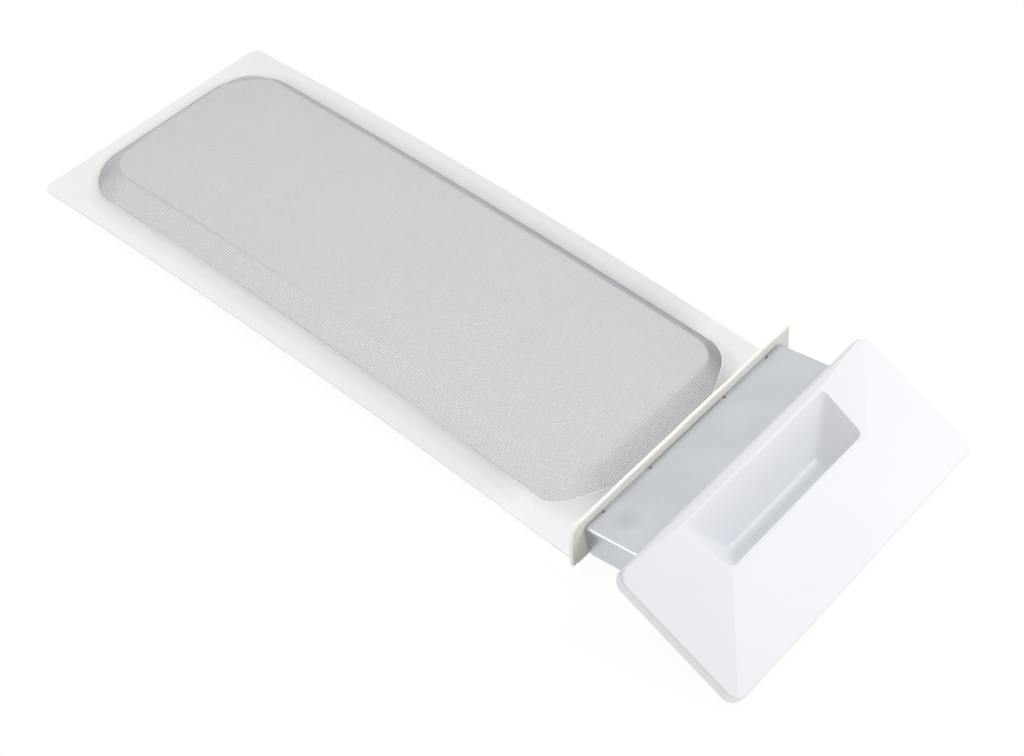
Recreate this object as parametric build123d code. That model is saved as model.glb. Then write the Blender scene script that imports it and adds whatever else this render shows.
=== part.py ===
from build123d import *
import os
from math import cos, hypot, radians, sin, sqrt, tan

# Lint filter of a tumble dryer: a moulded frame with a raised mesh pillow, a felt seal across the slot,
# a folded steel neck and a hollow handle cover with a finger pocket. Millimetres, lying as it rests on
# a table: +X from the far end of the screen towards the handle, Y across, +Z up.

# Screen frame: a thin arched border with a lip round the mesh and an upright wall at the neck
frame_width = 175.0
frame_length = 418.5
frame_corner_radius = 6.0
border_thickness = 2.8
border_edge_radius = 0.8
arch_rise = 6.5
side_border = 10.7
far_border = 7.4
neck_border = 4.0
lip_height = 4.0
lip_thickness = 1.0
end_wall_thickness = 3.0

# Corner fairings: low walls that close the two corners beside the neck
fairing_thickness = 1.6
fairing_start = 2.0
fairing_height = 10.0
fairing_ramp = 34.0
fairing_edge_inset = 14.5
fairing_corner_setback = 26.5
fairing_base_half = 52.0
fairing_top_half = 30.0

# Mesh pillow: one formed sheet with sloping walls, a flange and locating tabs moulded into the border.
# A coarse grid of openings in its crown stands for the fine weave.
mesh_thickness = 0.8
mesh_rise = 14.0
mesh_wall_angle = 41.0
mesh_far_angle = 34.5
mesh_edge_radius = 2.0
mesh_far_radius = 22.0
mesh_neck_radius = 16.0
mesh_draw_in = 2.4
mesh_flange = 4.0
flange_edge_margin = 2.0
mesh_tab_length = 22.0
mesh_tab_margin = 7.5
mesh_tab_first = 108.0
mesh_tab_spacing = 198.0
openings_along = 12
openings_across = 6
opening_margin = 10.0
mesh_rib = 6.0

# Neck: folded sheet steel that leaves the frame at a slight upward angle
neck_angle = 10.6
neck_height = 21.4
neck_width = 163.0
sheet = 0.9
bend_radius = 1.2
flap_depth = 18.5
flap_gap = 1.2
flap_corner_radius = 2.5
flap_past_bend = 4.0
tab_inner = 31.0
tab_outer = 68.0
notch_width = 2.0
notch_depth = 2.2
flange_depth = 10.0
hook_depth = 5.0
middle_past_bend = 2.0
ear_width = 18.0
ear_length = 26.0
ear_drop = 9.0

# Felt seal between the frame's end wall and the neck
seal_thickness = 2.5
seal_overhang = 8.0
seal_above_neck = 4.5
seal_foot = 2.3
seal_corner_radius = 5.0
slot_clearance = 0.1

# Handle cover: hipped top, raised rim and a deep finger pocket
handle_length = 206.0
handle_depth = 83.0
handle_tilt = 24.0
handle_setback = 35.1
handle_wall = 2.5
handle_corner_radius = 7.5
rim_height = 6.4
rim_bevel = 0.9
crest_height = 3.0
back_height = 1.0
pocket_back = 6.5
pocket_front = 36.5
pocket_back_half = 58.5
pocket_crest_half = 55.5
pocket_depth = 17.0
pocket_foot_half = 38.0
pocket_foot_front = 34.0
pocket_foot_width = 5.5
pocket_foot_radius = 4.0
land_width = 2.0

# Fixing screws and the bosses that take them
boss_half_spacing = 70.0
boss_along = 18.0
boss_radius = 4.5
screw_radius = 1.95
screw_clearance = 0.05
screw_hole_clearance = 0.3
screw_head_radius = 4.0
screw_head_height = 2.2
screw_head_bevel = 0.8
pilot_roof = 2.2

# Sizes that follow from the ones above
REACH = 2 * (frame_length + handle_depth)
half_frame = frame_width / 2
wall_run = 1 / tan(radians(mesh_wall_angle))
far_run = 1 / tan(radians(mesh_far_angle))
arch_radius = (frame_length**2 / 4 + arch_rise**2) / (2 * arch_rise)
flange_low = (border_thickness - mesh_thickness) / 2
flange_high = flange_low + mesh_thickness


def arch_height(x):
    """Height of the arch over its own ends, at a place along the frame."""
    return sqrt(arch_radius**2 - (x - frame_length / 2) ** 2) - (arch_radius - arch_rise)


def below_arch(height):
    """All space under the arched surface whose two ends stand at a height over the table."""
    centre_z = height + arch_rise - arch_radius
    return Pos(frame_length / 2, 0, centre_z) * Rot(90, 0, 0) * Cylinder(arch_radius, REACH)


def mirrored(solid):
    """The solid and its twin across the middle plane."""
    return solid + solid.mirror(Plane.XZ)


# Frames of the neck and of the handle, both turned about the cross axis
neck_joint = (frame_length, border_thickness)
neck = Pos(neck_joint[0], 0, neck_joint[1]) * Rot(0, -neck_angle, 0)
handle_back_z = handle_depth * sin(radians(handle_tilt)) + rim_height * cos(radians(handle_tilt))
handle_back = (frame_length + handle_setback, handle_back_z)
handle = Pos(handle_back[0], 0, handle_back[1]) * Rot(0, handle_tilt, 0)


def bend_line():
    """Where the neck's top meets the plane of the screw ears, measured along the neck."""
    neck_dir = (cos(radians(neck_angle)), sin(radians(neck_angle)))
    ear_dir = (cos(radians(handle_tilt)), -sin(radians(handle_tilt)))
    start = (neck_joint[0] - neck_height * neck_dir[1], neck_joint[1] + neck_height * neck_dir[0])
    ear = (handle_back[0] + ear_drop * ear_dir[1], handle_back[1] - ear_drop * ear_dir[0])
    gap = (ear[0] - start[0], ear[1] - start[1])
    turn = neck_dir[0] * ear_dir[1] - neck_dir[1] * ear_dir[0]
    return (gap[0] * ear_dir[1] - gap[1] * ear_dir[0]) / turn


bend_on_neck = bend_line()
seal_front = seal_thickness


# Mesh pillow
def pillow_outline(grow):
    """Plan of the pillow's foot, grown outwards: long sides are slight arcs, corners are round."""
    x0 = far_border - grow * far_run / wall_run
    x1 = frame_length - neck_border + grow
    half = half_frame - side_border + grow
    bulge = arch_rise * wall_run - mesh_draw_in
    middle = (x0 + x1) / 2
    edges = [
        ThreePointArc((x0, -half), (middle, -half - bulge), (x1, -half)),
        Line((x1, -half), (x1, half)),
        ThreePointArc((x1, half), (middle, half + bulge), (x0, half)),
        Line((x0, half), (x0, -half)),
    ]
    plan = make_face(edges)
    corners = plan.vertices().sort_by(Axis.X)
    plan = fillet(corners[:2], mesh_far_radius + mesh_rise * wall_run + grow)
    return fillet(plan.vertices().sort_by(Axis.X)[-2:], mesh_neck_radius + mesh_rise * wall_run + grow)


def sloping_body(grow):
    """A body with the pillow's sloping walls, from under the table to over the pillow's crown."""
    low = -border_thickness
    high = border_thickness + mesh_rise + arch_rise + border_thickness
    plans = [Pos(0, 0, z) * pillow_outline((border_thickness - z) * wall_run + grow) for z in (low, high)]
    return loft(plans, ruled=True)


def pillow(inset):
    """The pillow as a solid, each face moved inwards, with its upper edge rounded."""
    body = sloping_body(-inset / sin(radians(mesh_wall_angle)))
    body = body & below_arch(border_thickness + mesh_rise - inset)
    crown = body.faces().sort_by(Axis.Z)[-1]
    return fillet(crown.edges(), mesh_edge_radius - inset)


def flange_layer(shape):
    """The part of a shape that lies in the mesh sheet's layer inside the border."""
    return (shape & below_arch(flange_high)) - below_arch(flange_low)


def mesh_flange_ring():
    """The flange round the pillow's foot, on the three sides away from the neck."""
    length = frame_length - neck_border - flange_edge_margin
    width = frame_width - 2 * flange_edge_margin
    keep = Box(length, width, REACH, align=(Align.MIN, Align.CENTER, Align.CENTER))
    return flange_layer(sloping_body(mesh_flange) & Pos(flange_edge_margin, 0, 0) * keep)


def mesh_tabs():
    tab_width = half_frame - mesh_tab_margin
    tabs = []
    for x in (mesh_tab_first, mesh_tab_first + mesh_tab_spacing):
        tabs.append(flange_layer(Pos(x, 0, 0) * Box(mesh_tab_length, 2 * tab_width, REACH)))
    return tabs


def corner_sizes(inset):
    """Where the fairing's long wall stands, where it turns, where its ramp starts and where it ends."""
    wall_y = half_frame - fairing_edge_inset
    diagonal = hypot(1, (wall_y - fairing_base_half) / fairing_corner_setback)
    corner_x = frame_length - fairing_corner_setback - inset / 2
    return wall_y - inset, corner_x, corner_x - fairing_ramp, fairing_base_half - inset * diagonal


def within_corners(inset):
    """All space along the frame that lies inside the two fairings' upright walls, moved inwards."""
    wall_y, corner_x, ramp_x, base_y = corner_sizes(inset)
    half = [(-REACH, 0), (-REACH, REACH), (ramp_x, REACH), (ramp_x, wall_y), (corner_x, wall_y)]
    half += [(frame_length, base_y), (frame_length, 0)]
    return mirrored(extrude(make_face(Polyline(*half, close=True)), REACH, both=True))


def corner_body(inset, crown):
    """One pillow corner beside the neck, up to the fairing's top, or to the pillow's crown when crowned."""
    wall_y, corner_x, ramp_x, base_y = corner_sizes(inset)
    high = border_thickness + fairing_height + arch_height(corner_x)
    low = border_thickness + fairing_start + arch_height(ramp_x)
    end_x = frame_length
    points = []
    if crown:
        end_x = frame_length - end_wall_thickness - high * tan(radians(neck_angle))
        crown_half = half_frame - side_border - mesh_rise * wall_run - inset
        crown_end = frame_length - neck_border - mesh_rise * wall_run - inset
        for x, y in ((ramp_x, crown_half), (crown_end - mesh_neck_radius, crown_half), (crown_end, 0)):
            points.append((x, y, border_thickness + mesh_rise + arch_height(x) - inset))
    top_y = fairing_top_half - inset * hypot(1, (wall_y - fairing_top_half) / fairing_corner_setback)
    points += [(ramp_x, wall_y, 0), (corner_x, wall_y, 0), (end_x, base_y, 0), (end_x, 0, 0), (ramp_x, 0, 0)]
    points += [(ramp_x, wall_y, low), (ramp_x, 0, low)]
    points += [(corner_x, wall_y, high), (end_x, top_y, high), (end_x, 0, high)]
    return ConvexPolyhedron(points)


def crown_openings():
    """A plain grid of openings through the crown, inside a margin along its edge."""
    x0 = far_border + mesh_rise * far_run + opening_margin
    x1 = frame_length - neck_border - mesh_rise * wall_run - opening_margin
    half = half_frame - side_border - mesh_rise * wall_run - mesh_draw_in - opening_margin
    pitch_x = (x1 - x0 + mesh_rib) / openings_along
    pitch_y = (2 * half + mesh_rib) / openings_across
    opening = Box(pitch_x - mesh_rib, pitch_y - mesh_rib, REACH)
    places = GridLocations(pitch_x, pitch_y, openings_along, openings_across)
    return [Pos((x0 + x1) / 2, 0, 0) * place * opening for place in places]


def pillow_form(inset):
    """The whole pillow moved inwards: its walls, cut off at the fairings, and the two corners they carry."""
    wall = fairing_thickness + inset
    return (pillow(inset) & within_corners(wall)) + mirrored(corner_body(wall, True))


pillow_outer = pillow_form(0)
pillow_inner = pillow_form(mesh_thickness)
mesh_sheet = pillow_outer - below_arch(flange_low) + mesh_flange_ring() + mesh_tabs()
mesh_screen = mesh_sheet - pillow_inner - crown_openings()


# Screen frame
def border_plate():
    """The arched border before its window is cut, with a soft upper edge."""
    corners = [(0, -half_frame), (REACH, -half_frame), (REACH, half_frame), (0, half_frame)]
    plan = make_face(Polyline(*corners, close=True))
    plan = fillet(plan.vertices().sort_by(Axis.X)[:2], frame_corner_radius)
    plate = (extrude(plan, REACH, both=True) & below_arch(border_thickness)) - below_arch(0)
    plate = plate & Box(2 * (frame_length + end_wall_thickness), REACH, REACH)
    top = plate.faces().sort_by(Axis.Z)[-1]
    rounded = [edge for edge in top.edges() if edge.center().X < frame_length]
    return fillet(rounded, border_edge_radius)


def lip():
    """A sloping lip that grips the mesh all round, just above the border."""
    grown = sloping_body(lip_thickness / sin(radians(mesh_wall_angle)))
    return (grown & below_arch(border_thickness + lip_height)) - below_arch(border_thickness / 2)


def fairing():
    """One corner wall: it ramps up from the lip, then cuts diagonally across to the end wall."""
    return corner_body(0, False) - below_arch(border_thickness / 2)


def end_wall():
    """The upright that carries the seal, square to the neck; the neck's tabs hook over its top."""
    height = neck_height - sheet + border_thickness / 2
    wall = Box(end_wall_thickness, neck_width, height, align=(Align.MAX, Align.CENTER, Align.MIN))
    hook_edge = wall.edges().filter_by(Axis.Y).group_by(Axis.Z)[-1].sort_by(Axis.X)[0]
    wall = fillet(hook_edge, bend_radius)
    return neck * (Pos(0, 0, -border_thickness / 2) * wall)


beyond_wall = neck * Box(REACH, REACH, REACH, align=(Align.MIN, Align.CENTER, Align.CENTER))
screen_frame = border_plate() + lip() + mirrored(fairing()) + end_wall()
screen_frame = screen_frame - beyond_wall - pillow_outer - mesh_sheet


# Neck of folded sheet, drawn in its own frame: x along the neck from the end wall, z up
neck_half = neck_width / 2
flat_half = neck_half - bend_radius - sheet
inner_edge = tab_inner - notch_width / 2
tab_low = tab_inner + notch_width / 2
tab_high = tab_outer - notch_width / 2
outer_edge = tab_outer + notch_width / 2
ear_low = boss_half_spacing - ear_width / 2
ear_high = min(boss_half_spacing + ear_width / 2, flat_half)


def folded_strip(path, y_low, y_high):
    """A strip of sheet that follows a path in the x-z plane, lying on its right, with round bends."""
    normals = []
    for start, end in zip(path, path[1:]):
        length = hypot(end[0] - start[0], end[1] - start[1])
        normals.append(((end[1] - start[1]) / length, (start[0] - end[0]) / length))
    under = []
    for i, point in enumerate(path):
        before = normals[max(i - 1, 0)]
        after = normals[min(i, len(normals) - 1)]
        scale = sheet / (1 + before[0] * after[0] + before[1] * after[1])
        under.append((point[0] + scale * (before[0] + after[0]), point[1] + scale * (before[1] + after[1])))
    section = make_face(Polyline(*path, *reversed(under), close=True))
    for bend in path[1:-1]:
        section = fillet(section.vertices().sort_by_distance(bend)[0], bend_radius + sheet)
    for bend in under[1:-1]:
        section = fillet(section.vertices().sort_by_distance(bend)[0], bend_radius)
    return Pos(0, y_low, 0) * extrude(Plane.XZ * section, y_high - y_low, dir=(0, 1, 0))


def neck_channel():
    """The neck's flat top with a flap bent down along each side."""
    outer = Pos(0, neck_height - flap_depth / 2) * Rectangle(neck_width, flap_depth)
    outer = fillet(outer.vertices().sort_by(Axis.Y)[-2:], bend_radius + sheet)
    inner = Pos(0, neck_height - sheet - flap_depth / 2) * Rectangle(neck_width - 2 * sheet, flap_depth)
    inner = fillet(inner.vertices().sort_by(Axis.Y)[-2:], bend_radius)
    start = seal_front + flap_gap
    length = bend_on_neck + flap_past_bend - start
    channel = Pos(start, 0, 0) * extrude(Plane.YZ * (outer - inner), length)
    corners = channel.edges().filter_by(Axis.Y).group_by(Axis.Z)[0]
    channel = fillet(corners, flap_corner_radius)
    past_bend = Box(REACH, 2 * flat_half, REACH, align=(Align.MIN, Align.CENTER, Align.CENTER))
    return channel - Pos(bend_on_neck, 0, 0) * past_bend


def neck_fold(y_low, y_high, back_x, depth):
    """One fold of the neck's rear edge: down from the top at a place along the neck."""
    reach = seal_front + notch_depth + flap_gap + bend_radius + sheet
    path = [(back_x, neck_height - depth), (back_x, neck_height), (reach, neck_height)]
    return folded_strip(path, y_low, y_high)


def neck_ear():
    """A screw ear: the top runs on and bends down to lie along the handle."""
    turn = radians(neck_angle + handle_tilt)
    tip = (bend_on_neck + ear_length * cos(turn), neck_height - ear_length * sin(turn))
    start = bend_on_neck - 3 * (bend_radius + sheet)
    return folded_strip([(start, neck_height), (bend_on_neck, neck_height), tip], ear_low, ear_high)


middle_size = (middle_past_bend + bend_radius, 2 * (ear_low - notch_width), sheet)
middle = Box(*middle_size, align=(Align.MIN, Align.CENTER, Align.MAX))
hook_back = -end_wall_thickness - sheet
rear_notch = Box(notch_depth, notch_width, REACH, align=(Align.MIN, Align.CENTER, Align.CENTER))
rear_fold = neck_fold(-inner_edge, inner_edge, seal_front, flange_depth)
side_fold = neck_fold(outer_edge, flat_half, seal_front, flange_depth)
hook_tab = neck_fold(tab_low, tab_high, hook_back, hook_depth)
bracket = neck_channel() + Pos(bend_on_neck - bend_radius, 0, neck_height) * middle + rear_fold
bracket = bracket + mirrored(side_fold) + mirrored(hook_tab) + mirrored(neck_ear())
for y in (-tab_outer, -tab_inner, tab_inner, tab_outer):
    bracket = bracket - Pos(seal_front, y, 0) * rear_notch
ear_drill = Cylinder(screw_radius + screw_hole_clearance, 4 * sheet)
ear_hole = handle * (Pos(boss_along, boss_half_spacing, -ear_drop) * ear_drill)
bracket = neck * bracket - mirrored(ear_hole)


# Felt seal
def seal_slot():
    """The slit through which one hooked tab of the neck passes."""
    width = tab_high - tab_low + 2 * slot_clearance
    slot = Box(4 * seal_thickness, width, sheet + 2 * slot_clearance)
    return Pos(0, (tab_low + tab_high) / 2, neck_height - sheet / 2) * slot


seal_top = neck_height + seal_above_neck
seal_width = neck_width + 2 * seal_overhang
seal_plan = Pos(0, (seal_foot + seal_top) / 2) * Rectangle(seal_width, seal_top - seal_foot)
seal_plan = fillet(seal_plan.vertices().sort_by(Axis.Y)[-2:], seal_corner_radius)
slot_seal = neck * (extrude(Plane.YZ * seal_plan, seal_thickness) - mirrored(seal_slot()))


# Handle cover, drawn in its own frame: x down the slope from the back edge, z square to the rim
def rim_plan(inset):
    """The rim's rounded rectangle, moved inwards."""
    plan = RectangleRounded(handle_depth - 2 * inset, handle_length - 2 * inset, handle_corner_radius - inset)
    return Pos(handle_depth / 2, 0, 0) * plan


def hipped_top(inset, low):
    """Everything under the cover's low hipped top, each face moved inwards, down to a depth."""
    back_x = pocket_back - land_width
    front_x = pocket_front + land_width
    half = handle_length / 2 - inset
    points = []
    for side in (-1, 1):
        points.append((back_x, side * (pocket_back_half + land_width), back_height - inset))
        points.append((front_x, side * (pocket_crest_half + land_width), crest_height - inset))
        for x in (inset, handle_depth - inset):
            points += [(x, side * half, -inset), (x, side * half, low)]
    return ConvexPolyhedron(points)


def handle_block():
    """The cover's outer form: an upright rim, a small bevel and the hipped top."""
    rim = Pos(0, 0, -rim_height) * extrude(rim_plan(0), rim_height - rim_bevel)
    bevel = Pos(0, 0, -rim_bevel) * extrude(rim_plan(0), 2 * rim_bevel + crest_height, taper=45)
    return (rim + bevel) & hipped_top(0, -rim_height)


def handle_hollow():
    """The space inside the cover, one wall within its outer form and open below."""
    well = extrude(rim_plan(handle_wall), 2 * rim_height, both=True)
    return well & hipped_top(handle_wall, -2 * rim_height)


def pocket_end(x, z):
    """How far the pocket's slanted end wall lies from the middle, at a depth and a place down the slope."""
    back = Vector(pocket_back, pocket_back_half, back_height)
    to_crest = Vector(pocket_front, pocket_crest_half, crest_height) - back
    to_foot = Vector(pocket_foot_front, pocket_foot_half, -pocket_depth) - back
    normal = to_crest.cross(to_foot)
    along = -normal.X / normal.Y
    rising = -normal.Z / normal.Y
    return back.Y + along * (x - back.X) + rising * (z - back.Z), hypot(1, along, rising)


def pocket(grow):
    """The finger pocket as a solid funnel of flat walls, each moved outwards, with rounded inner corners."""
    foot_back = pocket_foot_front - pocket_foot_width
    back_run = (foot_back - pocket_back) / (pocket_depth + back_height)
    front_run = (pocket_foot_front - pocket_front) / (pocket_depth + crest_height)
    high = crest_height + handle_wall
    points = []
    for z in (-pocket_depth - grow, high):
        back_x = pocket_back + back_run * (back_height - z) - grow * hypot(1, back_run)
        front_x = pocket_front + front_run * (crest_height - z) + grow * hypot(1, front_run)
        for x in (back_x, front_x):
            half, slant = pocket_end(x, z)
            points += [(x, -half - grow * slant, z), (x, half + grow * slant, z)]
    funnel = ConvexPolyhedron(points)
    buried = [edge for edge in funnel.edges() if edge.center().Z < high - handle_wall / 2]
    return fillet(buried, pocket_foot_radius + grow)


def boss():
    """One screw boss under the cover, reaching down to the neck's ear."""
    length = ear_drop + crest_height
    return Pos(boss_along, boss_half_spacing, -ear_drop + length / 2) * Cylinder(boss_radius, length)


cover = handle_block()
under_cover = Box(REACH, REACH, REACH, align=(Align.CENTER, Align.CENTER, Align.MAX))
inside = cover + under_cover
bowl = pocket(handle_wall) & inside
cavity = handle_hollow() - pocket(handle_wall)
bosses = mirrored(boss()) & inside
pilot_length = ear_drop - pilot_roof
pilot = Cylinder(screw_radius + screw_clearance, 2 * pilot_length)
pilots = mirrored(Pos(boss_along, boss_half_spacing, -ear_drop) * pilot)
handle_cover = handle * (cover - cavity + bowl - pocket(0) + bosses - pilots)


# Fixing screws, driven up through the ears into the bosses
def screw():
    seat = -ear_drop - sheet
    head = Cylinder(screw_head_radius, screw_head_height, align=(Align.CENTER, Align.CENTER, Align.MAX))
    head = chamfer(head.edges().sort_by(Axis.Z)[0], screw_head_bevel)
    shank_length = sheet + pilot_length - pilot_roof / 2
    shank = Cylinder(screw_radius, shank_length, align=(Align.CENTER, Align.CENTER, Align.MIN))
    return Pos(boss_along, boss_half_spacing, seat) * (head + shank)


handle_screws = handle * mirrored(screw())


# All pieces moved together: origin in the middle of the resting side of the whole
pieces = {
    "screen_frame": screen_frame,
    "mesh_screen": mesh_screen,
    "slot_seal": slot_seal,
    "bracket": bracket,
    "handle_cover": handle_cover,
    "handle_screws": handle_screws,
}
box = Compound(list(pieces.values())).bounding_box()
centre = Pos(-(box.min.X + box.max.X) / 2, -(box.min.Y + box.max.Y) / 2, -box.min.Z)

os.makedirs("parts", exist_ok=True)
for node, piece in pieces.items():
    export_step(centre * piece, f"parts/{node}.step")
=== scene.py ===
# %% [markdown]
# # A tumble dryer's lint filter
# The filter lies on a white table. An arched, milky plastic frame holds a raised pillow of woven mesh, a
# strip of felt shuts the dryer's slot, and a short neck of zinc-coated steel leads up to a white handle
# with a finger pocket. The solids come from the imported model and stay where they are. This script gives
# them their finishes, and puts computed surfaces in place of a solid where the real piece is woven, soft
# or rounder than the solid.

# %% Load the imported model
import bpy
import numpy as np
from mathutils import Matrix, Vector


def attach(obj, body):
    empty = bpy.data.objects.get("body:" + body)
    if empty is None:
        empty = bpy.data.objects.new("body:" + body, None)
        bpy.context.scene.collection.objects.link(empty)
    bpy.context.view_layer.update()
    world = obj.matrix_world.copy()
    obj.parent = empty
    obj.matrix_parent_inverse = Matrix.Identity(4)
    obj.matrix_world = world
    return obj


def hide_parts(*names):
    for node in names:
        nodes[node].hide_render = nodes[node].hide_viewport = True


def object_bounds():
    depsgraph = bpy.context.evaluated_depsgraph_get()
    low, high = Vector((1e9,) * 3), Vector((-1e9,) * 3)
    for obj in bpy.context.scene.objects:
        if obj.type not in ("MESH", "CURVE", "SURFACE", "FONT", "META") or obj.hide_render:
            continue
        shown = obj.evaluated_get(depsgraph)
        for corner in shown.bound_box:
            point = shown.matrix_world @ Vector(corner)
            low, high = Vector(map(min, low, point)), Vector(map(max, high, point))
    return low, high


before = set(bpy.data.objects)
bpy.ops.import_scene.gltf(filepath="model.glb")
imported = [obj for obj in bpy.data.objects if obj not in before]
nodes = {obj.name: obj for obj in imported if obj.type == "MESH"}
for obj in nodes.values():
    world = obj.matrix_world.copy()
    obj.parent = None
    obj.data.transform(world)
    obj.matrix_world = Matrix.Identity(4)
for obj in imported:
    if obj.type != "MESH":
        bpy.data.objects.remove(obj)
cad_low, cad_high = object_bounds()
print("solids:", sorted(nodes))
print("box in metres:", list(cad_low), list(cad_high))

# %% [markdown]
# ## Small helpers
# Colours are written as sRGB hex, as a picture editor gives them, but Blender's shaders want linear
# light, so one function does that step. Another adds a shader node: each of its inputs is a plain value
# or the output of a node made before, so a finish reads as a short list.

# %% Helpers for colours and nodes
MM = 0.001


def linear(hex_colour):
    """sRGB hex to linear RGBA: a channel is c / 12.92 when it is dark, else ((c + 0.055) / 1.055) to the
    power 2.4."""
    c = np.array([int(hex_colour[i:i + 2], 16) for i in (1, 3, 5)]) / 255
    c = np.where(c <= 0.04045, c / 12.92, ((c + 0.055) / 1.055) ** 2.4)
    return (*c.tolist(), 1.0)


def add(tree, kind, inputs=(), **settings):
    """One node with its settings and inputs; an input is a plain value or another node's output."""
    node = tree.nodes.new(kind)
    for name, value in settings.items():
        setattr(node, name, value)
    for name, value in dict(inputs).items():
        if isinstance(value, bpy.types.NodeSocket):
            tree.links.new(value, node.inputs[name])
        else:
            node.inputs[name].default_value = value
    return node


def new_finish(name, colour, roughness):
    """A material of one colour and roughness, with its tree, its surface shader and its object
    coordinates."""
    finish = bpy.data.materials.new(name)
    finish.use_nodes = True
    tree = finish.node_tree
    shader = tree.nodes["Principled BSDF"]
    shader.inputs["Base Color"].default_value = linear(colour)
    shader.inputs["Roughness"].default_value = roughness
    place = add(tree, "ShaderNodeTexCoord").outputs["Object"]
    return finish, tree, shader, place


print("white in linear light:", linear("#ffffff"))

# %% Helpers for pieces


def dress(obj, finish):
    """The piece takes this finish in place of any that it had."""
    obj.data.materials.clear()
    obj.data.materials.append(finish)


def new_piece(name, points_mm, faces, finish, node, sharp_over=180.0):
    """A mesh piece from points in millimetres; it rides on the one body and stands for a node. Edges that
    turn by more than some degrees stay sharp."""
    mesh = bpy.data.meshes.new(name)
    mesh.from_pydata((points_mm * MM).tolist(), [], faces)
    mesh.polygons.foreach_set("use_smooth", np.ones(len(mesh.polygons), dtype=bool))
    mesh.update()
    mesh.set_sharp_from_angle(angle=np.radians(sharp_over))
    piece = bpy.data.objects.new(name, mesh)
    bpy.context.scene.collection.objects.link(piece)
    dress(piece, finish)
    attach(piece, "root")
    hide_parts(node)
    print(name, "has", len(mesh.vertices), "points and", len(mesh.polygons), "faces")
    return piece


def mark(piece, name, values):
    """One number for each point of a piece, which its finish can read by name."""
    attribute = piece.data.attributes.new(name, "FLOAT", "POINT")
    attribute.data.foreach_set("value", values.astype(np.float32))


# %% [markdown]
# ## Camera
# The place, the turn and the lens were worked out from straight edges of the object: the two long sides
# of the frame, the neck and the rim of the handle share their vanishing points, so one camera explains
# them together.

# %% Camera
camera_right = Vector((0.75057, 0.66073, -0.00869))
camera_up = Vector((-0.49234, 0.56795, 0.65957))
camera_axis = Vector((-0.44073, 0.49077, -0.75160))
camera_place = Vector((0.48541, -0.50350, 0.74748))
camera_data = bpy.data.cameras.new("camera")
camera_data.sensor_width = 36.0
camera_data.lens = 64.14
camera = bpy.data.objects.new("camera", camera_data)
bpy.context.scene.collection.objects.link(camera)
turn = Matrix((camera_right, camera_up, -camera_axis)).transposed().to_4x4()
camera.matrix_world = Matrix.Translation(camera_place) @ turn
bpy.context.scene.camera = camera
bpy.context.scene.view_settings.view_transform = "Standard"
print("camera at", list(camera_place))

# %% [markdown]
# ## Table and sky
# The object stands on white, with hardly any shadow. The table is white paper to the light that falls on
# it. To the camera, to reflections and to light seen through something it is mostly an even white, so
# that the page stays clean while the object itself is lit at a plain level. The sky does the same.

# %% Table
PAGE_WHITE = 0.94
FLOOR_HALF = 6.0
FLOOR_DROP = 0.2


def seen_directly(tree):
    """1 for rays from the camera, from reflections and through clear things; 0 for light that falls on a
    surface."""
    path = add(tree, "ShaderNodeLightPath").outputs
    inputs = {0: path["Is Camera Ray"], 1: path["Is Glossy Ray"]}
    either = add(tree, "ShaderNodeMath", inputs, operation="MAXIMUM").outputs[0]
    inputs = {0: either, 1: path["Is Transmission Ray"]}
    return add(tree, "ShaderNodeMath", inputs, operation="MAXIMUM").outputs[0]


floor_mesh = bpy.data.meshes.new("floor")
floor_corners = [(x * FLOOR_HALF, y * FLOOR_HALF, 0.0) for x, y in ((-1, -1), (1, -1), (1, 1), (-1, 1))]
floor_mesh.from_pydata(floor_corners, [], [(0, 1, 2, 3)])
floor = bpy.data.objects.new("floor", floor_mesh)
bpy.context.scene.collection.objects.link(floor)
floor.location.z = -FLOOR_DROP * MM
paper, tree, shader, _ = new_finish("white paper", "#f6f6f5", 0.9)
white = add(tree, "ShaderNodeEmission", {"Color": (1, 1, 1, 1), "Strength": 1.0}).outputs["Emission"]
inputs = {0: seen_directly(tree), 1: PAGE_WHITE}
share = add(tree, "ShaderNodeMath", inputs, operation="MULTIPLY").outputs[0]
mixed = add(tree, "ShaderNodeMixShader", {0: share, 1: shader.outputs["BSDF"], 2: white})
tree.links.new(mixed.outputs["Shader"], tree.nodes["Material Output"].inputs["Surface"])
dress(floor, paper)
print("table", 2 * FLOOR_HALF, "m wide, white to the camera by", PAGE_WHITE)

# %% Sky
SKY_LIGHT = 0.72
world = bpy.data.worlds.new("studio")
bpy.context.scene.world = world
world.use_nodes = True
tree = world.node_tree
sky = tree.nodes["Background"]
sky.inputs["Color"].default_value = (1, 1, 1, 1)
inputs = {"Value": seen_directly(tree), "To Min": SKY_LIGHT, "To Max": 1.0}
strength = add(tree, "ShaderNodeMapRange", inputs)
tree.links.new(strength.outputs["Result"], sky.inputs["Strength"])
print("sky lights the object by", SKY_LIGHT)

# %% [markdown]
# ## The woven screen
# On the real filter the screen is a fine cloth of stiff grey threads, pressed hot into a shallow pillow
# and moulded into the frame. Its height is a function of the plan: walls that flare out at their foot
# climb from the arched border to a crown that follows the same arch. All sizes here are millimetres,
# along the frame from its far end and across it from its middle.

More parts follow.
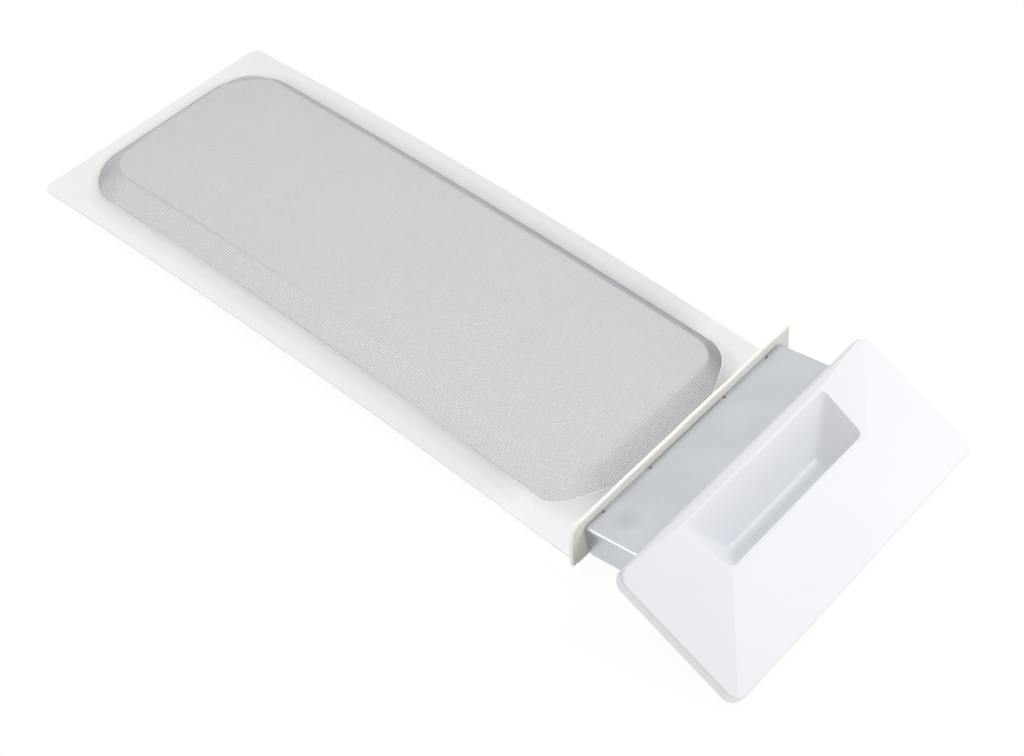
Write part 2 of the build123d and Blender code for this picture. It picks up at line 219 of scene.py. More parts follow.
# %% Sizes of the pillow
FRAME_LENGTH = 418.5
HALF_WIDTH = 87.5
BORDER = 2.8
ARCH_RISE = 6.5
ARCH_RADIUS = (FRAME_LENGTH**2 / 4 + ARCH_RISE**2) / (2 * ARCH_RISE)
WALL_SLOPE = np.tan(np.radians(41.0))
FAR_SLOPE = np.tan(np.radians(40.0))
PILLOW_RISE = 14.0
FLARE = 1.4
NECK_BORDER, SIDE_BORDER = 6.5, 10.7
PILLOW_FAR, PILLOW_NECK = 8.3, FRAME_LENGTH - NECK_BORDER
PILLOW_HALF = HALF_WIDTH - SIDE_BORDER
DRAW_IN = 2.4
CROWN_FAR_CORNER, CROWN_NECK_CORNER = 22.0, 16.0
FAR_CORNER = CROWN_FAR_CORNER + PILLOW_RISE / WALL_SLOPE
NECK_CORNER = CROWN_NECK_CORNER + PILLOW_RISE / WALL_SLOPE
CREASE_ROUND, NECK_ROUND = 0.8, 1.7
ROUND_ALONG = (350.0, 390.0)
ROUND_ACROSS = (50.0, 35.0)
FAR_END = cad_low[0] / MM
print("pillow", round(PILLOW_NECK - PILLOW_FAR, 1), "mm long and", 2 * PILLOW_HALF, "mm wide at its ends")

# %% The pillow's height over the table


def ramp(value, start, end):
    """0 at the start, 1 at the end, a straight line between and level outside; the end may be the lower
    one."""
    return np.clip((value - start) / (end - start), 0, 1)


def arch(x):
    """Height of the frame's arch over its two ends: a circle of large radius, less its height at the
    ends."""
    return np.sqrt(ARCH_RADIUS**2 - (x - FRAME_LENGTH / 2) ** 2) - (ARCH_RADIUS - ARCH_RISE)


def soft_min(a, b, width):
    """The smaller of two heights, rounded where they meet: a parabola bridges differences under the
    width."""
    near = np.clip(1 - np.abs(a - b) / width, 0, 1)
    return np.minimum(a, b) - near**2 * width / 4


def round_corner(a, b, radius):
    """Distance inside a corner, from the distances inside its two sides: within the radius it is measured
    from the round corner, elsewhere it is the smaller of the two."""
    inside_round = radius - np.hypot(np.maximum(radius - a, 0), np.maximum(radius - b, 0))
    return np.where((a < radius) & (b < radius), inside_round, np.minimum(a, b))


def inside_foot(x, y):
    """How far a point of the plan lies inside the pillow's base outline, whose long sides are slight
    arcs. The distance from the far end counts less, because the wall there rises less steeply."""
    middle = (PILLOW_FAR + PILLOW_NECK) / 2
    share = (x - middle) / (PILLOW_NECK - middle)
    bulge = ARCH_RISE / WALL_SLOPE - DRAW_IN
    side = PILLOW_HALF + bulge * (1 - share**2) - np.abs(y)
    far = round_corner((x - PILLOW_FAR) * FAR_SLOPE / WALL_SLOPE, side, FAR_CORNER)
    neck = round_corner(PILLOW_NECK - x, side, NECK_CORNER)
    return np.minimum(far, neck)


def over_border(x, y):
    """How far the pillow's wall stands over the border, whose top follows the arch. The wall flares out
    at its foot: its share of the full rise is its share of the way to the crease, to a power over one."""
    inside = inside_foot(x, y) - arch(x) / WALL_SLOPE
    share = np.maximum(inside, 0) * WALL_SLOPE / PILLOW_RISE
    return np.where(inside > 0, PILLOW_RISE * share**FLARE, WALL_SLOPE * inside)


def pillow_height(x, y):
    """Height of the screen, and how far its wall stands over the crown, which is 0 on the crease. The
    lower of wall and crown counts. The crease is sharp along the sides and softer in the middle of the
    neck end."""
    wall = BORDER + arch(x) + over_border(x, y)
    crown = BORDER + PILLOW_RISE + arch(x)
    softness = CREASE_ROUND + NECK_ROUND * ramp(x, *ROUND_ALONG) * ramp(np.abs(y), *ROUND_ACROSS)
    return soft_min(wall, crown, softness), wall - crown


heights, _ = pillow_height(np.array([100.0, FRAME_LENGTH / 2]), np.zeros(2))
print("screen heights in mm in the far part and the middle:", heights.round(1))

# %% [markdown]
# A picture of a weave on a smooth sheet would look solid from the side. Real threads do better: looked at
# from above, the white table shows through the holes, and at a slant the threads close up and the screen
# turns grey. So the screen is two sets of threads, each thread a three-sided tube that steps over and
# under the threads of the other set. The real threads are finer. These are drawn as coarse as they need
# to be to show in a render, which also keeps their number down.

# %% Where shade is painted on the cloth
CREASE_WIDTH = 1.2
CREASE_FADES = (270.0, 120.0)
# Shares of painted shade: on every wall, more on the far walls, and on the wall at the neck.
WALL_SHADE, FAR_SHADE, NECK_SHADE = 0.5, 0.5, 0.95
FAR_WALL, NECK_WALL, SIDE_WALL = (32.0, 26.0), (391.0, 401.0), (20.0, 40.0)


def shade_on_cloth(x, y, over_crown):
    """Painted shade on the cloth, from 0 to nearly 2: a line along the near crease, less towards the neck;
    some on every wall; more on those at the far end and the far side; and most at the neck, where a wall's
    share and the neck's add up."""
    near_side, far_side = ramp(-y, *SIDE_WALL), ramp(y, *SIDE_WALL)
    crease = ramp(x, *CREASE_FADES) * near_side * np.exp(-(over_crown / CREASE_WIDTH) ** 2)
    far_walls = FAR_SHADE * np.maximum(ramp(x, *FAR_WALL), far_side)
    on_wall = ramp(-over_crown, 0.0, CREASE_ROUND)
    shaded = (WALL_SHADE + far_walls) * on_wall + NECK_SHADE * ramp(x, *NECK_WALL)
    return np.maximum(crease, shaded)


samples = shade_on_cloth(np.array([FRAME_LENGTH / 2, PILLOW_NECK]), np.zeros(2), np.zeros(2))
print("cloth drawn in the middle of the crown and at the neck:", samples)

# %% Threads that step over and under each other
THREAD_PITCH = 0.9
THREAD_RADIUS = 0.225
THREAD_STEP = 0.18
THREAD_SIDES = 3
THREAD_FOOT = 0.7
SHEET_MIDDLE = 0.4
PARTS = 4


def thread_set(along_x, part):
    """The threads of one direction, in one part of the screen's length, as three-sided tubes. At each
    crossing (i, j) the thread's middle stands on the screen's height, lifted where i + j is even and
    lowered where it is odd; the other set does the opposite. The third result is the painted shade of the
    cloth at each point."""
    columns = np.arange(np.ceil(PILLOW_FAR / THREAD_PITCH), np.floor(PILLOW_NECK / THREAD_PITCH) + 1)
    rows = np.arange(-np.floor(HALF_WIDTH / THREAD_PITCH), np.floor(HALF_WIDTH / THREAD_PITCH) + 1)
    i, j = np.meshgrid(columns, rows, indexing="ij")
    x, y = i * THREAD_PITCH, j * THREAD_PITCH
    z, over_crown = pillow_height(x, y)
    slope_x, slope_y = np.gradient(z, THREAD_PITCH)
    zero, one = np.zeros_like(z), np.ones_like(z)
    up = np.stack([-slope_x, -slope_y, one], axis=-1)
    up /= np.linalg.norm(up, axis=-1, keepdims=True)
    across = np.stack([zero, one, slope_y] if along_x else [one, zero, slope_x], axis=-1)
    across /= np.linalg.norm(across, axis=-1, keepdims=True)
    lift = np.where((i + j) % 2 == 0, 1.0, -1.0) * (1.0 if along_x else -1.0)
    middle = np.stack([x + FAR_END, y, z], axis=-1) + (THREAD_STEP * lift - SHEET_MIDDLE)[..., None] * up
    angles = np.radians(90.0 + np.arange(THREAD_SIDES) * 360.0 / THREAD_SIDES)
    ring = np.cos(angles)[:, None] * across[..., None, :] + np.sin(angles)[:, None] * up[..., None, :]
    points = middle[..., None, :] + THREAD_RADIUS * ring
    # Painted shade at each point of the tubes.
    painted_shade = np.repeat(shade_on_cloth(x, y, over_crown), THREAD_SIDES)

    number = np.arange(z.size * THREAD_SIDES).reshape(*z.shape, THREAD_SIDES)
    kept = over_border(x, y) > THREAD_FOOT
    in_part = (i - columns[0]) * PARTS // len(columns) == part
    # For the other set rows and columns swap, and each ring is reversed, so that faces still look out.
    if not along_x:
        number, kept, in_part = number.transpose(1, 0, 2)[:, :, ::-1], kept.T, in_part.T
    start, end = number[:-1], number[1:]
    length = kept[:-1] & kept[1:] & in_part[:-1]
    first = length & ~np.pad(length, ((1, 0), (0, 0)))[:-1]
    last = length & ~np.pad(length, ((0, 1), (0, 0)))[1:]
    turned_start, turned_end = np.roll(start, -1, axis=-1), np.roll(end, -1, axis=-1)
    sides = np.stack([start, turned_start, turned_end, end], axis=-1)[length].reshape(-1, 4)
    caps = np.concatenate([start[first][:, ::-1], end[last]])
    used, renumbered = np.unique(np.concatenate([sides.ravel(), caps.ravel()]), return_inverse=True)
    sides, caps = renumbered[:sides.size].reshape(-1, 4), renumbered[sides.size:].reshape(-1, THREAD_SIDES)
    return points.reshape(-1, 3)[used], sides.tolist() + caps.tolist(), painted_shade[used]


print("threads", THREAD_PITCH, "mm apart and", 2 * THREAD_RADIUS, "mm thick")

# %% [markdown]
# The threads are shown as polyester: smooth, slightly glossy, pale grey, a little uneven from one part of
# the cloth to the next. They shade one another, so the screen as a whole looks darker than the threads
# are. Shade is also painted into their colour along the near crease and on the walls, most at the neck:
# their finish reads the painted shade and darkens there.

# %% Finish of the threads, and the screen
PATCH_MM = 40.0
SHADE_SHARE = 0.5
polyester, tree, shader, place = new_finish("grey polyester monofilament", "#dfe1e4", 0.45)
inputs = {"Vector": place, "Scale": 1 / (PATCH_MM * MM), "Detail": 2.0}
patches = add(tree, "ShaderNodeTexNoise", inputs).outputs
inputs = {0: patches["Fac"], 6: linear("#dcdee1"), 7: linear("#e2e4e7")}
uneven = add(tree, "ShaderNodeMix", inputs, data_type="RGBA").outputs[2]
# Painted shade: the threads' colour goes towards a dark grey by the painted shade value, on the crease and
# the walls.
shade_amount = add(tree, "ShaderNodeAttribute", attribute_name="painted_shade").outputs["Fac"]
darker = add(tree, "ShaderNodeMath", {0: shade_amount, 1: SHADE_SHARE}, operation="MULTIPLY").outputs[0]
inputs = {0: darker, 6: uneven, 7: linear("#9da2a4")}
shade = add(tree, "ShaderNodeMix", inputs, data_type="RGBA").outputs[2]
tree.links.new(shade, shader.inputs["Base Color"])

screen = []
for name, along_x in (("warp", True), ("weft", False)):
    for part in range(PARTS):
        points, faces, painted_shade = thread_set(along_x, part)
        threads = new_piece(f"screen_{name}_{part}", points, faces, polyester, "mesh_screen")
        # Each point carries its painted shade, which the finish reads.
        mark(threads, "painted_shade", painted_shade)
        screen.append(threads)

# %% [markdown]
# ## Shapes that several pieces share
# The neck leaves the frame at a slight upward angle, so one function places points that are given along
# it. A rounded section and the faces between two of them serve for the felt and for the wall behind it.
# An end could be shut by one face of many corners, but a bent one shades badly, so a row of four-sided
# faces shuts it.

# %% Places on the neck, and strips of one section
NECK_TURN = np.radians(10.6)
SIDE_POINTS = 16


def on_neck(along, y, up):
    """Points given along the neck, across it and square to it, in the row's frame: a turn about the
    frame's end."""
    x = FRAME_LENGTH + along * np.cos(NECK_TURN) - up * np.sin(NECK_TURN) + FAR_END
    z = BORDER + along * np.sin(NECK_TURN) + up * np.cos(NECK_TURN)
    return np.stack([x, y * np.ones_like(x), z], axis=-1)


def rounded_section(width, low, high, radius, points_per_corner):
    """A rounded rectangle: at each corner a quarter circle about the point one radius inside it, with
    points along the two long sides, so that an end can be cut to a curve. It starts and ends at the top,
    so each point faces the one that is as far from the end of the list."""
    quarter = np.linspace(0, np.pi / 2, points_per_corner)
    near, far = radius, width - radius
    under, over = low + radius, high - radius
    centres = np.array([(far, over), (near, over), (near, under), (far, under)])
    angles = quarter[None, :] + np.arange(4)[:, None] * np.pi / 2
    corners = centres[:, None, :] + radius * np.stack([np.cos(angles), np.sin(angles)], axis=-1)
    heights = np.linspace(over, under, SIDE_POINTS)[1:-1]
    near_side = np.stack([0 * heights, heights], axis=-1)
    far_side = np.stack([width + 0 * heights, heights[::-1]], axis=-1)
    return np.concatenate([corners[1], near_side, corners[2], corners[3], far_side, corners[0]])


def strip_faces(stations, around):
    """Faces of a section carried from one end to the other. A row of faces between the two long sides
    shuts each end."""
    number = np.arange(stations * around).reshape(stations, around)
    beside = np.roll(number, -1, axis=1)
    quads = np.stack([number[:-1], number[1:], beside[1:], beside[:-1]], axis=-1)
    one_side, other_side = number[:, :around // 2], number[:, :around // 2 - 1:-1]
    shut = np.stack([one_side[:, :-1], one_side[:, 1:], other_side[:, 1:], other_side[:, :-1]], axis=-1)
    return np.concatenate([quads.reshape(-1, 4), shut[0], shut[-1][:, ::-1]]).tolist()


print("the neck rises by", round(np.degrees(NECK_TURN), 1), "degrees")

# %% [markdown]
# ## The frame
# The frame is moulded polypropylene, milky and a little see-through. The edge of the cloth lies inside
# it, so a slightly greyer band with a wavy edge shows round the foot of the pillow. The finish works out
# the distance from that foot: a rounded rectangle, folded onto one corner by taking absolute values.
# Beside the neck there is no cloth and the plastic is plain.

# %% Distance from the pillow's foot, for the frame's finish
BAND_FAR = 11.5
PAST_NECK = 100.0
WAVE_MM, WAVE_HEIGHT = 26.0, 5.0
milky, tree, shader, place = new_finish("milky polypropylene", "#e2e3e3", 0.6)
band_end = FRAME_LENGTH + PAST_NECK
band_middle = (FAR_END + (BAND_FAR + band_end) / 2, 0.0, 0.0)
band_half = ((band_end - BAND_FAR) / 2 - FAR_CORNER, PILLOW_HALF - DRAW_IN / 2 - FAR_CORNER, 0.0)
inputs = {0: place, 1: (1 / MM, 1 / MM, 0.0)}
flat = add(tree, "ShaderNodeVectorMath", inputs, operation="MULTIPLY").outputs[0]
moved = add(tree, "ShaderNodeVectorMath", {0: flat, 1: band_middle}, operation="SUBTRACT").outputs[0]
folded = add(tree, "ShaderNodeVectorMath", {0: moved}, operation="ABSOLUTE").outputs[0]
beyond = add(tree, "ShaderNodeVectorMath", {0: folded, 1: band_half}, operation="SUBTRACT").outputs[0]
inputs = {0: beyond, 1: (0.0, 0.0, 0.0)}
outside = add(tree, "ShaderNodeVectorMath", inputs, operation="MAXIMUM").outputs[0]
from_corner = add(tree, "ShaderNodeVectorMath", {0: outside}, operation="LENGTH").outputs["Value"]
inputs = {"Vector": place, "Scale": 1 / (WAVE_MM * MM), "Detail": 3.0}
waves = add(tree, "ShaderNodeTexNoise", inputs).outputs
inputs = {0: waves["Fac"], 1: WAVE_HEIGHT, 2: from_corner}
wavy = add(tree, "ShaderNodeMath", inputs, operation="MULTIPLY_ADD").outputs[0]
foot = FAR_CORNER + WAVE_HEIGHT / 2
print("the pillow's foot lies", round(foot, 1), "mm from the folded corner")

# %% Colours of the frame
LIP_FADES, CLOTH_FADES = (-6.0, 1.0), (1.5, 6.0)
NECK_FADES = (FRAME_LENGTH - 70.0, FRAME_LENGTH - 45.0)
inputs = {"Value": wavy, "From Min": foot + LIP_FADES[0], "From Max": foot + LIP_FADES[1]}
on_border = add(tree, "ShaderNodeMapRange", inputs).outputs["Result"]
inputs = {0: on_border, 6: linear("#d0d1d2"), 7: linear("#dbdcdc")}
over_cloth = add(tree, "ShaderNodeMix", inputs, data_type="RGBA").outputs[2]
inputs = {"Value": wavy, "From Min": foot + CLOTH_FADES[0], "From Max": foot + CLOTH_FADES[1]}
past_cloth = add(tree, "ShaderNodeMapRange", inputs).outputs["Result"]
along = add(tree, "ShaderNodeSeparateXYZ", {"Vector": flat}).outputs["X"]
inputs = {"Value": along, "From Min": FAR_END + NECK_FADES[0], "From Max": FAR_END + NECK_FADES[1]}
beside_neck = add(tree, "ShaderNodeMapRange", inputs).outputs["Result"]
plain = add(tree, "ShaderNodeMath", {0: past_cloth, 1: beside_neck}, operation="MAXIMUM").outputs[0]
inputs = {0: beside_neck, 6: linear("#e5e5e6"), 7: linear("#f0f0f0")}
bare = add(tree, "ShaderNodeMix", inputs, data_type="RGBA").outputs[2]
inputs = {0: plain, 6: over_cloth, 7: bare}
shade = add(tree, "ShaderNodeMix", inputs, data_type="RGBA").outputs[2]
tree.links.new(shade, shader.inputs["Base Color"])
shader.inputs["Subsurface Weight"].default_value = 0.25
shader.inputs["Subsurface Radius"].default_value = (1.0, 1.0, 1.0)
shader.inputs["Subsurface Scale"].default_value = 3.0 * MM
print("the cloth in the frame fades out", CLOTH_FADES, "mm past the pillow's foot")

# %% [markdown]
# The frame itself is made here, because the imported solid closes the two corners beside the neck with
# upright walls, and in the photograph the lip simply runs on round the pillow. Rays go out from a line
# along the middle of the screen, fanning out at its two ends. Along each ray lie the lip, the flat of the
# border and its outer edge, so one section is carried all the way round. The lip climbs higher at the two
# corners beside the neck.

# %% Rays, and how far they reach
BORDER_CORNER = 6.0
HALVINGS = 40


def inside_border(x, y):
    """How far a point of the plan lies inside the border's outline, which is rounded at the far
    corners."""
    return np.minimum(round_corner(x, HALF_WIDTH - np.abs(y), BORDER_CORNER), FRAME_LENGTH - x)


def outward_rays(spacing_mm, spacing_degrees):
    """Starts and directions of rays, anticlockwise: a fan at the neck end, the far side, a fan at the far
    end and the near side."""
    first, last = PILLOW_FAR + FAR_CORNER, PILLOW_NECK - NECK_CORNER
    fan = np.radians(np.arange(-90.0, 90.0, spacing_degrees))
    side = np.arange(0.0, last - first, spacing_mm)
    x = np.concatenate([0 * fan + last, last - side, 0 * fan + first, first + side])
    angle = np.concatenate([fan, 0 * side + np.pi / 2, fan + np.pi, 0 * side - np.pi / 2])
    return np.stack([x, 0 * x], axis=-1), np.stack([np.cos(angle), np.sin(angle)], axis=-1)


def reach(measure, starts, directions):
    """How far along each ray a measure that falls outwards comes down to zero, found by halving an
    interval."""
    low, high = np.zeros(len(starts)), np.full(len(starts), FRAME_LENGTH)
    for _ in range(HALVINGS):
        middle = (low + high) / 2
        inside = measure(*(starts + middle[:, None] * directions).T) > 0
        low, high = np.where(inside, middle, low), np.where(inside, high, middle)
    return low


def closed_band(points):
    """Faces that join each section to the next, all the way round both ways."""
    number = np.arange(points.shape[0] * points.shape[1]).reshape(points.shape[:2])
    after = np.roll(number, -1, axis=0)
    quads = np.stack([number, after, np.roll(after, -1, axis=1), np.roll(number, -1, axis=1)], axis=-1)
    return quads.reshape(-1, 4).tolist()


starts, directions = outward_rays(spacing_mm=2.0, spacing_degrees=1.0)
print(len(starts), "rays round the frame")

# %% Border and lip of the frame
LIP_HEIGHT, LIP_RUN, LIP_FILLET, LIP_ROUND = 1.5, 1.5, 0.3, 0.4
LIP_CLIMB, CLIMB_MIDDLE, CLIMB_WIDTH = 5.0, 70.0, 13.0
LIP_EDGE = 0.7 * LIP_RUN
EDGE_ROUND = 0.8
EDGE_CUT = 0.3 * EDGE_ROUND
UNDER_EDGE = 1.5 * EDGE_ROUND
FRAME_SHARP = 35.0


def frame_ring(starts, directions):
    """The section at each ray, from the border's outer foot over its top, up the lip and down its inner
    side. Every height is over the arch at that place. The lip climbs as a bell curve of the ray's angle
    from the neck."""
    turned = np.degrees(np.arctan2(np.abs(directions[:, 1]), directions[:, 0]))
    lip_height = LIP_HEIGHT + LIP_CLIMB * np.exp(-((turned - CLIMB_MIDDLE) / CLIMB_WIDTH) ** 2)
    lip_top = BORDER + lip_height
    outer = reach(inside_border, starts, directions)
    foot = reach(over_border, starts, directions)
    lip = reach(lambda x, y: over_border(x, y) - lip_height, starts, directions)
    section = [
        (outer - EDGE_ROUND, 0.0),
        (outer, UNDER_EDGE),
        (outer, BORDER - EDGE_ROUND),
        (outer - EDGE_CUT, BORDER - EDGE_CUT),
        (outer - EDGE_ROUND, BORDER),
        (foot + 2 * LIP_RUN, BORDER),
        (foot + LIP_RUN, BORDER + LIP_FILLET),
        (lip + LIP_RUN, lip_top - LIP_ROUND),
        (lip + LIP_EDGE, lip_top),
        (lip, lip_top),
        (foot, BORDER),
        (foot, 0.0),
    ]
    along = np.stack([distance for distance, _ in section], axis=1)
    height = np.stack([over + 0 * outer for _, over in section], axis=1)
    plan = starts[:, None] + along[..., None] * directions[:, None]
    z = height + arch(plan[..., 0])
    points = np.concatenate([plan + (FAR_END, 0.0), z[..., None]], axis=-1)
    return points.reshape(-1, 3), closed_band(points)


points, faces = frame_ring(starts, directions)
border = new_piece("frame_border", points, faces, milky, "screen_frame", FRAME_SHARP)

# %% [markdown]
# A plain upright wall at the frame's end carries the felt. It stands square to the neck, so it is a
# rounded section given along the neck and carried straight across.

# %% End wall of the frame
WALL_THICKNESS, WALL_HALF, WALL_LOW, WALL_HIGH, WALL_ROUND = 3.0, 81.5, -1.4, 20.5, 0.8
section = rounded_section(WALL_THICKNESS, WALL_LOW, WALL_HIGH, WALL_ROUND, points_per_corner=4)
section = section - (WALL_THICKNESS, 0.0)
ends = np.array([-WALL_HALF, WALL_HALF])[:, None]
points = on_neck(section[:, 0] + 0 * ends, ends, section[:, 1] + 0 * ends)
points, faces = points.reshape(-1, 3), strip_faces(2, len(section))
end_wall = new_piece("frame_end_wall", points, faces, milky, "screen_frame", FRAME_SHARP)

# %% [markdown]
# ## The felt seal
# The seal is a strip of dense cream felt, cut by hand: its two ends slant the same way, its top edge
# isn't quite straight and its corners are soft. A rounded section is carried from one end to the other.
# The side towards the neck has painted shade, strongest at its foot beside the neck. Felt scatters light
# from loose fibres, so its finish is rough, with a fine fuzz and a faint sheen.

# %% Shape of the felt seal
SEAL_THICKNESS, SEAL_FOOT, SEAL_TOP, SEAL_ROUND = 2.5, 2.3, 25.9, 0.7
SEAL_CORNER = 5.0
SEAL_NEAR_TOP, SEAL_NEAR_FOOT, SEAL_FAR_TOP, SEAL_FAR_FOOT = -87.6, -92.4, 91.4, 89.4
SEAL_STATIONS = 160
CUT_WAVES = ((0.18, 9.0, 0.0), (0.12, 3.7, 1.0))
# How much the painted shade on the neck side fades from its foot to its top.
SHADE_FADES = 0.6


def felt_strip():
    """The section carried along the strip; the place across runs from the near end's slant to the far
    end's, with a quarter circle at the near top corner. Two slow sine waves, each with a height, a length
    and a shift, stand for the hand-cut edge. Painted shade lies on the neck side and grows towards its
    foot."""
    section = rounded_section(SEAL_THICKNESS, SEAL_FOOT, SEAL_TOP, SEAL_ROUND, points_per_corner=5)
    share = np.linspace(0, 1, SEAL_STATIONS)[:, None]
    along, up = section[None, :, 0], section[None, :, 1]
    rise = (up - SEAL_FOOT) / (SEAL_TOP - SEAL_FOOT)
    from_top = np.clip(1 - (SEAL_TOP - up) / SEAL_CORNER, 0, 1)
    cut_corner = SEAL_CORNER * (1 - np.sqrt(1 - from_top**2))
    near = SEAL_NEAR_FOOT + (SEAL_NEAR_TOP - SEAL_NEAR_FOOT) * rise**2 + cut_corner
    far = SEAL_FAR_FOOT + (SEAL_FAR_TOP - SEAL_FAR_FOOT) * rise**2
    y = near + (far - near) * share
    cut = sum(height * np.sin(y / length + shift) for height, length, shift in CUT_WAVES)
    points = on_neck(along + 0 * y, y, up + rise * cut)
    # Painted shade: full on the side towards the neck at its foot, less higher up, none on the far side.
    neck_side_shade = (along / SEAL_THICKNESS) * (1 - SHADE_FADES * rise) + 0 * y
    return points.reshape(-1, 3), strip_faces(*neck_side_shade.shape), neck_side_shade.ravel()


print("felt strip", SEAL_FAR_FOOT - SEAL_NEAR_FOOT, "mm long at its foot")

# %% Finish of the felt, and the seal
FIBRE_MM, FUZZ_MM = 0.9, 0.25
felt, tree, shader, place = new_finish("cream wool felt", "#eceae2", 0.95)
inputs = {"Vector": place, "Scale": 1 / (FIBRE_MM * MM), "Detail": 4.0}
fibres = add(tree, "ShaderNodeTexNoise", inputs).outputs
inputs = {0: fibres["Fac"], 6: linear("#dbdad4"), 7: linear("#f0f0ec")}
fibre_tone = add(tree, "ShaderNodeMix", inputs, data_type="RGBA").outputs[2]
# Painted shade: the side towards the neck goes towards a darker cream by the shade value.
shade_in = add(tree, "ShaderNodeAttribute", attribute_name="neck_side_shade").outputs["Fac"]
inputs = {0: shade_in, 6: fibre_tone, 7: linear("#d0cdc4")}
shade = add(tree, "ShaderNodeMix", inputs, data_type="RGBA").outputs[2]
tree.links.new(shade, shader.inputs["Base Color"])
fuzz = add(tree, "ShaderNodeBump", {"Height": fibres["Fac"], "Strength": 0.5, "Distance": FUZZ_MM * MM})
tree.links.new(fuzz.outputs["Normal"], shader.inputs["Normal"])
shader.inputs["Sheen Weight"].default_value = 0.3
points, faces, neck_side_shade = felt_strip()
seal = new_piece("felt_seal", points, faces, felt, "slot_seal", sharp_over=50.0)
mark(seal, "neck_side_shade", neck_side_shade)

# %% [markdown]
# ## The neck
# The neck is sheet steel with a hot-dip zinc coat: a bright satin grey with faint broad clouds, and a
# dull smudge on the top near one corner. The solid already has the folds, so only the finish is new.

# %% Finish of the neck
CLOUD_MM, SMUDGE_MM, SMUDGE_STRENGTH = 22.0, 9.0, 0.42
SATIN_LOW, SATIN_HIGH = 0.31, 0.37
SMUDGE_ALONG, SMUDGE_ACROSS, SMUDGE_UP = 17.0, -65.5, 21.4
smudge = on_neck(np.array(SMUDGE_ALONG), np.array(SMUDGE_ACROSS), np.array(SMUDGE_UP)) * MM
zinc, tree, shader, place = new_finish("galvanised sheet steel", "#c9cdd2", 0.34)
shader.inputs["Metallic"].default_value = 1.0
inputs = {"Vector": place, "Scale": 1 / (CLOUD_MM * MM), "Detail": 4.0}
clouds = add(tree, "ShaderNodeTexNoise", inputs).outputs
inputs = {0: clouds["Fac"], 6: linear("#c1c5ca"), 7: linear("#d2d6da")}
cloudy = add(tree, "ShaderNodeMix", inputs, data_type="RGBA").outputs[2]
inputs = {0: place, 1: smudge.tolist()}
far_off = add(tree, "ShaderNodeVectorMath", inputs, operation="DISTANCE").outputs["Value"]
inputs = {"Value": far_off, "From Max": SMUDGE_MM * MM, "To Min": SMUDGE_STRENGTH, "To Max": 0.0}
dull = add(tree, "ShaderNodeMapRange", inputs).outputs["Result"]
patchy = add(tree, "ShaderNodeMath", {0: dull, 1: clouds["Fac"]}, operation="MULTIPLY").outputs[0]
inputs = {0: patchy, 6: cloudy, 7: linear("#7f848a")}
shade = add(tree, "ShaderNodeMix", inputs, data_type="RGBA").outputs[2]
tree.links.new(shade, shader.inputs["Base Color"])
inputs = {"Value": clouds["Fac"], "To Min": SATIN_LOW, "To Max": SATIN_HIGH}
satin = add(tree, "ShaderNodeMapRange", inputs).outputs["Result"]
tree.links.new(satin, shader.inputs["Roughness"])
dress(nodes["bracket"], zinc)
print("neck dressed; smudge at", smudge.round(3))

# %% [markdown]
# ## The handle
# The handle is injection moulded from white ABS with a fine satin texture. It is nearly white, a little
# cool, and a broad soft sheen tells its faces apart. The solid has the hips and the pocket, so it only
# needs its finish: a fine moulded grain and a hardly visible change of tone where the plastic flowed.

# %% Finish of the handle
GRAIN_MM, GRAIN_DEPTH_MM, FLOW_MM = 0.6, 0.05, 50.0
white_abs, tree, shader, place = new_finish("white ABS, satin moulded", "#e6e8ec", 0.36)
inputs = {"Vector": place, "Scale": 1 / (GRAIN_MM * MM), "Detail": 2.0}
grain = add(tree, "ShaderNodeTexNoise", inputs).outputs
inputs = {"Height": grain["Fac"], "Strength": 0.05, "Distance": GRAIN_DEPTH_MM * MM}
texture = add(tree, "ShaderNodeBump", inputs)
tree.links.new(texture.outputs["Normal"], shader.inputs["Normal"])
inputs = {"Vector": place, "Scale": 1 / (FLOW_MM * MM), "Detail": 1.0}
flow = add(tree, "ShaderNodeTexNoise", inputs).outputs
inputs = {0: flow["Fac"], 6: linear("#e4e6ea"), 7: linear("#e8eaee")}
shade = add(tree, "ShaderNodeMix", inputs, data_type="RGBA").outputs[2]
tree.links.new(shade, shader.inputs["Base Color"])
dress(nodes["handle_cover"], white_abs)
print("handle dressed with a grain of", GRAIN_MM, "mm")

# %% [markdown]
# Two screws hold the handle to the neck from below. They are zinc plated, a duller grey than the neck,
# and slightly tarnished in spots of a few millimetres, so a finish like the neck's with smaller clouds
# serves for them.

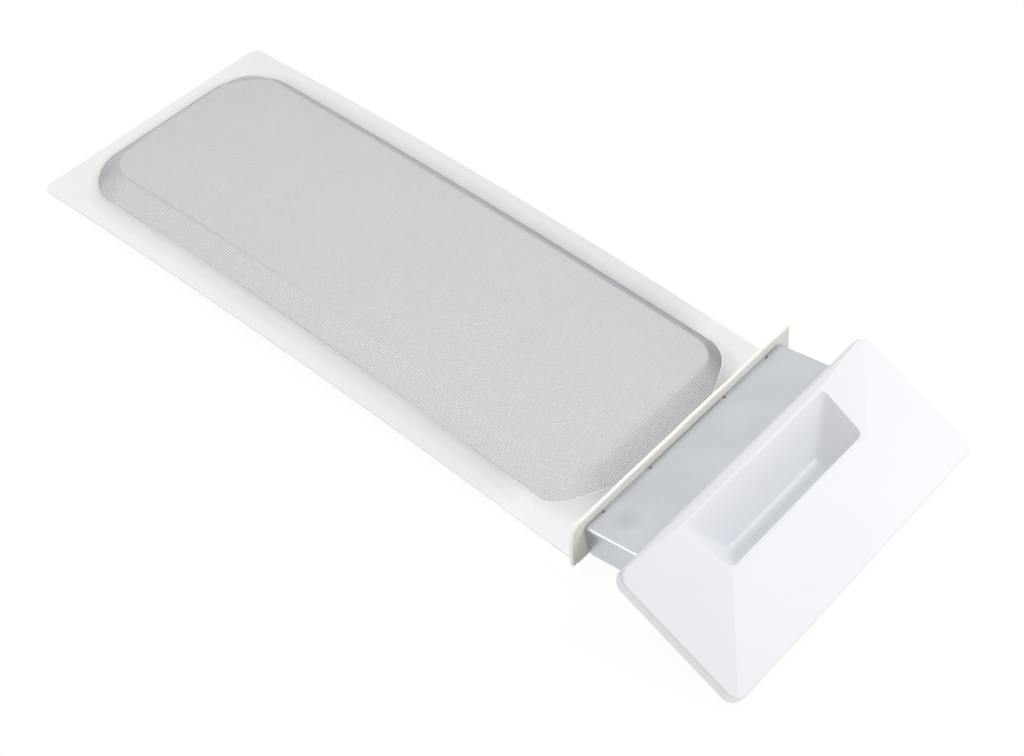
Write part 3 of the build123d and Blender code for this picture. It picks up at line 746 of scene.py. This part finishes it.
# %% Finish of the screws
TARNISH_MM = 2.5
screw_zinc, tree, shader, place = new_finish("zinc plated screw steel", "#a9abad", 0.35)
shader.inputs["Metallic"].default_value = 1.0
inputs = {"Vector": place, "Scale": 1 / (TARNISH_MM * MM), "Detail": 3.0}
tarnish = add(tree, "ShaderNodeTexNoise", inputs).outputs
inputs = {0: tarnish["Fac"], 6: linear("#9a9c9c"), 7: linear("#b6b9bc")}
shade = add(tree, "ShaderNodeMix", inputs, data_type="RGBA").outputs[2]
tree.links.new(shade, shader.inputs["Base Color"])
dress(nodes["handle_screws"], screw_zinc)
print("screws dressed with spots of", TARNISH_MM, "mm")

# %% [markdown]
# ## Lamps
# The sky does most of the lighting. A broad lamp behind the handle gives its front a soft sheen, one high
# over the far end lights the screen and the frame, and a small one low on the near side draws the line of
# light along the folded edge of the neck and clears the felt's near end. A photographer would shade each
# lamp with a card; here each lamp is given the pieces that it lights.

# %% Lamps
HANDLE_MIDDLE = Vector((0.22, 0.0, 0.02))


def softbox(name, direction, distance, size, power, lit):
    """A square lamp at a distance from the handle's middle, in a direction, facing it; it lights the
    listed pieces."""
    lamp = bpy.data.lights.new(name, "AREA")
    lamp.shape = "SQUARE"
    lamp.size = size
    lamp.energy = power
    holder = bpy.data.objects.new(name, lamp)
    bpy.context.scene.collection.objects.link(holder)
    aim = Vector(direction).normalized()
    holder.location = HANDLE_MIDDLE + distance * aim
    holder.rotation_euler = (-aim).to_track_quat("-Z", "Y").to_euler()
    receivers = bpy.data.collections.new(name)
    for piece in lit:
        receivers.objects.link(piece)
    holder.light_linking.receiver_collection = receivers
    print("lamp", name, "of", power, "W lights", len(lit), "pieces")


neck_pieces = [nodes["handle_cover"], nodes["handle_screws"], nodes["bracket"], seal]
screen_pieces = [border, end_wall, seal, *screen]
softbox("sheen lamp", (0.435, 0.613, 0.66), distance=2.0, size=1.0, power=15.0, lit=[floor, *neck_pieces])
softbox("screen lamp", (-0.5, -0.15, 0.85), distance=2.0, size=1.0, power=14.0, lit=[floor, *screen_pieces])
softbox("edge lamp", (-0.53, -0.71, 0.46), distance=1.8, size=0.5, power=3.2, lit=[nodes["bracket"], seal])
